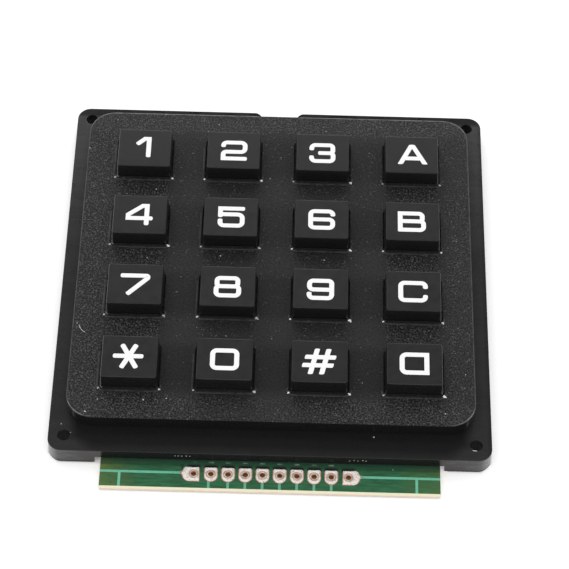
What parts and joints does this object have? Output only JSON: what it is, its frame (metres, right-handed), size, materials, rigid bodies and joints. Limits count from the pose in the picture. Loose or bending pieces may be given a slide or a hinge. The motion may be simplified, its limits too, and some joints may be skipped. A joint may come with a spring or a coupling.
{
  "type": "matrix keypad",
  "caption": "Flat panel-mount keypad: black moulded housing with a flange, square hard keys on a silicone dome mat, and a circuit board whose tab carries a row of header holes.",
  "frame": {"origin": "centre of the four mounting holes, on the underside of the flange", "axes": "+Z out of the key tops, +Y towards the 1-2-3-A row, +X to the right; the header tab points to -Y"},
  "size_m": [0.0658, 0.07, 0.0082],
  "materials": {
    "housing_abs": "fine-grained black ABS moulding, glossy at grazing angles",
    "key_abs": "smooth satin black ABS with a printed white legend",
    "silicone": "translucent grey moulded silicone",
    "carbon": "matt conductive carbon pill",
    "solder_mask": "green solder mask on glass-epoxy board",
    "masked_copper": "copper track under green solder mask",
    "tinned_copper": "dull tin on copper pads",
    "carbon_ink_pads": "bare copper contact fingers"
  },
  "bodies": {
    "case": {"housing": "housing_abs", "dome_mat": "silicone", "circuit_board": "solder_mask", "contact_combs": "carbon_ink_pads", "header_pads": "tinned_copper", "board_tracks": "masked_copper"},
    "key_1": {"keycap_1": "key_abs", "carbon_pill_1": "carbon"},
    "key_2": {"keycap_2": "key_abs", "carbon_pill_2": "carbon"},
    "key_3": {"keycap_3": "key_abs", "carbon_pill_3": "carbon"},
    "key_a": {"keycap_a": "key_abs", "carbon_pill_a": "carbon"},
    "key_4": {"keycap_4": "key_abs", "carbon_pill_4": "carbon"},
    "key_5": {"keycap_5": "key_abs", "carbon_pill_5": "carbon"},
    "key_6": {"keycap_6": "key_abs", "carbon_pill_6": "carbon"},
    "key_b": {"keycap_b": "key_abs", "carbon_pill_b": "carbon"},
    "key_7": {"keycap_7": "key_abs", "carbon_pill_7": "carbon"},
    "key_8": {"keycap_8": "key_abs", "carbon_pill_8": "carbon"},
    "key_9": {"keycap_9": "key_abs", "carbon_pill_9": "carbon"},
    "key_c": {"keycap_c": "key_abs", "carbon_pill_c": "carbon"},
    "key_star": {"keycap_star": "key_abs", "carbon_pill_star": "carbon"},
    "key_0": {"keycap_0": "key_abs", "carbon_pill_0": "carbon"},
    "key_hash": {"keycap_hash": "key_abs", "carbon_pill_hash": "carbon"},
    "key_d": {"keycap_d": "key_abs", "carbon_pill_d": "carbon"}
  },
  "joints": [
    {"name": "press_1", "type": "slide", "parent": "case", "child": "key_1", "axis": [0, 0, -1], "range_m": [0, 0.00095], "stiffness_N_per_m": 1500, "deforming": ["dome_mat"]},
    {"name": "press_2", "type": "slide", "parent": "case", "child": "key_2", "axis": [0, 0, -1], "range_m": [0, 0.00095], "stiffness_N_per_m": 1500, "deforming": ["dome_mat"]},
    {"name": "press_3", "type": "slide", "parent": "case", "child": "key_3", "axis": [0, 0, -1], "range_m": [0, 0.00095], "stiffness_N_per_m": 1500, "deforming": ["dome_mat"]},
    {"name": "press_a", "type": "slide", "parent": "case", "child": "key_a", "axis": [0, 0, -1], "range_m": [0, 0.00095], "stiffness_N_per_m": 1500, "deforming": ["dome_mat"]},
    {"name": "press_4", "type": "slide", "parent": "case", "child": "key_4", "axis": [0, 0, -1], "range_m": [0, 0.00095], "stiffness_N_per_m": 1500, "deforming": ["dome_mat"]},
    {"name": "press_5", "type": "slide", "parent": "case", "child": "key_5", "axis": [0, 0, -1], "range_m": [0, 0.00095], "stiffness_N_per_m": 1500, "deforming": ["dome_mat"]},
    {"name": "press_6", "type": "slide", "parent": "case", "child": "key_6", "axis": [0, 0, -1], "range_m": [0, 0.00095], "stiffness_N_per_m": 1500, "deforming": ["dome_mat"]},
    {"name": "press_b", "type": "slide", "parent": "case", "child": "key_b", "axis": [0, 0, -1], "range_m": [0, 0.00095], "stiffness_N_per_m": 1500, "deforming": ["dome_mat"]},
    {"name": "press_7", "type": "slide", "parent": "case", "child": "key_7", "axis": [0, 0, -1], "range_m": [0, 0.00095], "stiffness_N_per_m": 1500, "deforming": ["dome_mat"]},
    {"name": "press_8", "type": "slide", "parent": "case", "child": "key_8", "axis": [0, 0, -1], "range_m": [0, 0.00095], "stiffness_N_per_m": 1500, "deforming": ["dome_mat"]},
    {"name": "press_9", "type": "slide", "parent": "case", "child": "key_9", "axis": [0, 0, -1], "range_m": [0, 0.00095], "stiffness_N_per_m": 1500, "deforming": ["dome_mat"]},
    {"name": "press_c", "type": "slide", "parent": "case", "child": "key_c", "axis": [0, 0, -1], "range_m": [0, 0.00095], "stiffness_N_per_m": 1500, "deforming": ["dome_mat"]},
    {"name": "press_star", "type": "slide", "parent": "case", "child": "key_star", "axis": [0, 0, -1], "range_m": [0, 0.00095], "stiffness_N_per_m": 1500, "deforming": ["dome_mat"]},
    {"name": "press_0", "type": "slide", "parent": "case", "child": "key_0", "axis": [0, 0, -1], "range_m": [0, 0.00095], "stiffness_N_per_m": 1500, "deforming": ["dome_mat"]},
    {"name": "press_hash", "type": "slide", "parent": "case", "child": "key_hash", "axis": [0, 0, -1], "range_m": [0, 0.00095], "stiffness_N_per_m": 1500, "deforming": ["dome_mat"]},
    {"name": "press_d", "type": "slide", "parent": "case", "child": "key_d", "axis": [0, 0, -1], "range_m": [0, 0.00095], "stiffness_N_per_m": 1500, "deforming": ["dome_mat"]}
  ]
}
